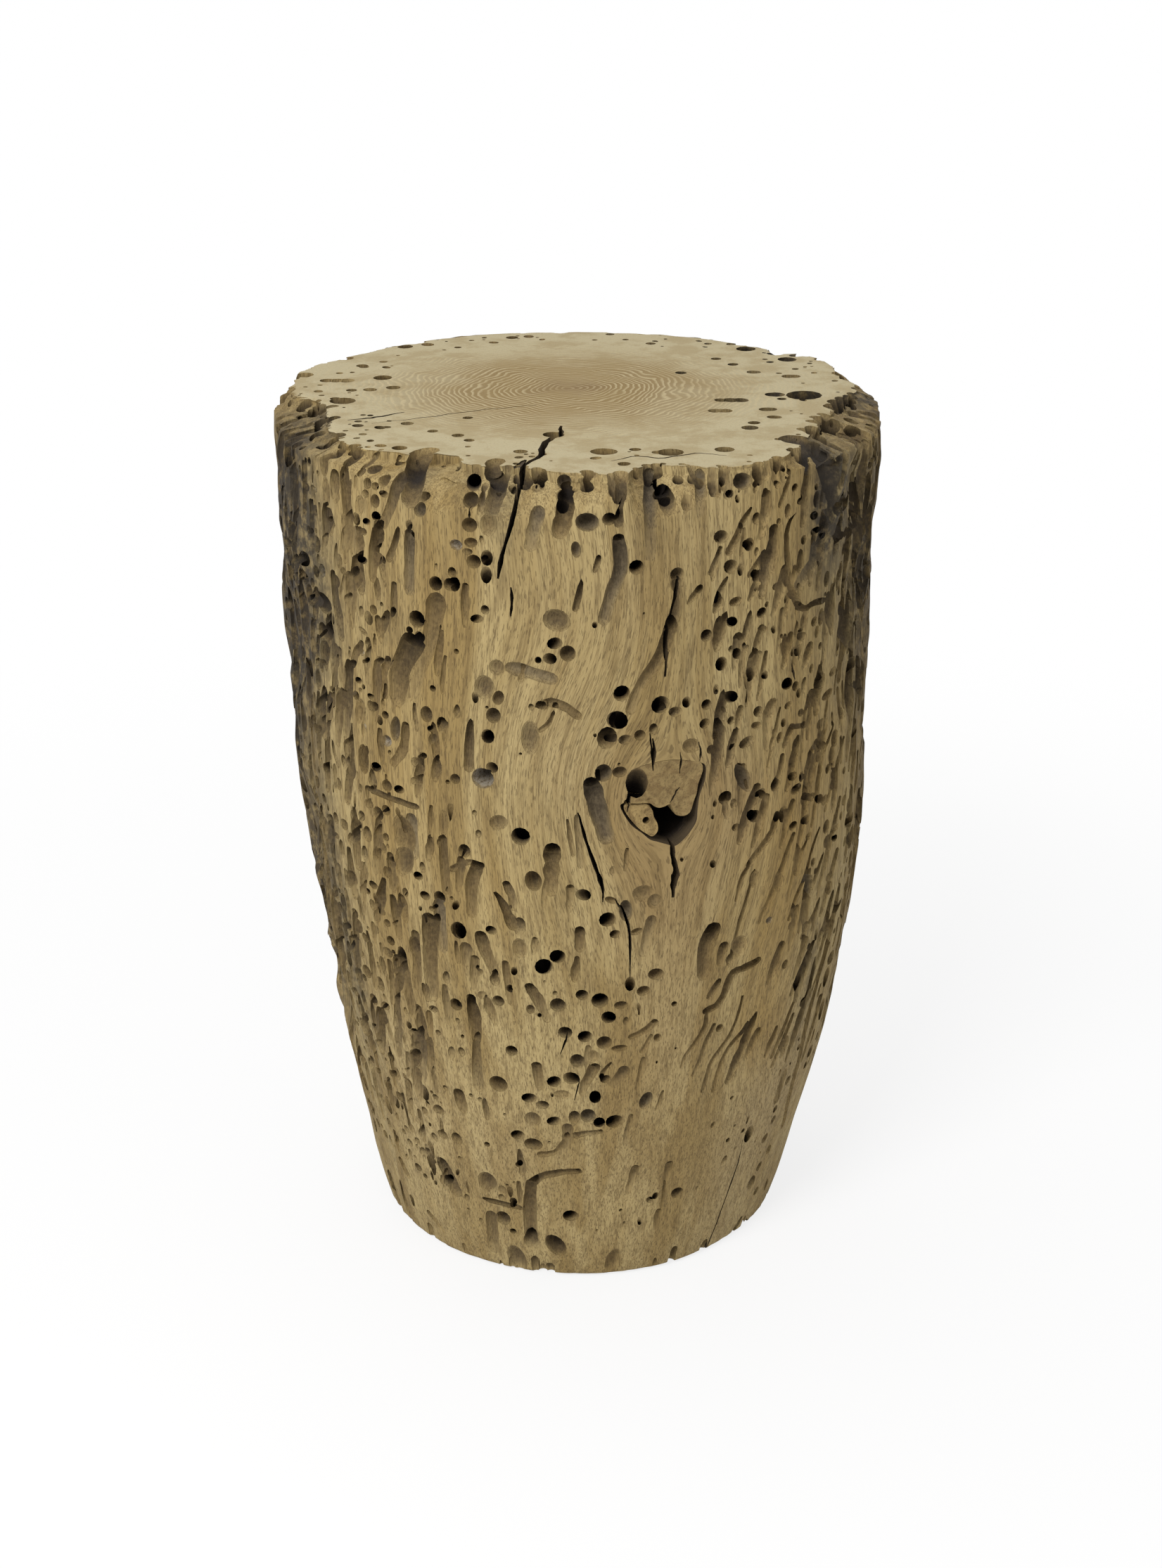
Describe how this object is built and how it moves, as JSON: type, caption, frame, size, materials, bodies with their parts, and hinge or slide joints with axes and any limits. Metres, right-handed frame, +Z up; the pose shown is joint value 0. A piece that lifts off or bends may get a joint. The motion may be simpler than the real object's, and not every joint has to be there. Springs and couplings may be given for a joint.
{
  "type": "log stool",
  "caption": "Solid log stool of weathered, worm-bored timber with a flat sawn seat, a dead knot in its side and recessed felt glides underneath.",
  "frame": {"origin": "on the floor, under the middle of the log: the bottom centre of the bounding box", "axes": "+Z up from the floor to the seat; -Y is the side with the dead knot; +X to the right seen from the knot's side"},
  "size_m": [0.3115, 0.312, 0.45],
  "materials": {
    "bored_timber": "bare weathered timber, dry and matt",
    "knot_wood": "hard dark knot wood, bare",
    "cup_plastic": "moulded brown plastic, fine matt texture",
    "glide_felt": "pressed wool felt",
    "nail_steel": "bright drawn wire"
  },
  "bodies": {
    "root": {"trunk": "bored_timber", "knot_upper": "knot_wood", "knot_left": "knot_wood", "glide_cup_1": "cup_plastic", "glide_cup_2": "cup_plastic", "glide_cup_3": "cup_plastic", "glide_cup_4": "cup_plastic", "glide_felt_1": "glide_felt", "glide_felt_2": "glide_felt", "glide_felt_3": "glide_felt", "glide_felt_4": "glide_felt", "glide_nails": "nail_steel"}
  },
  "joints": []
}
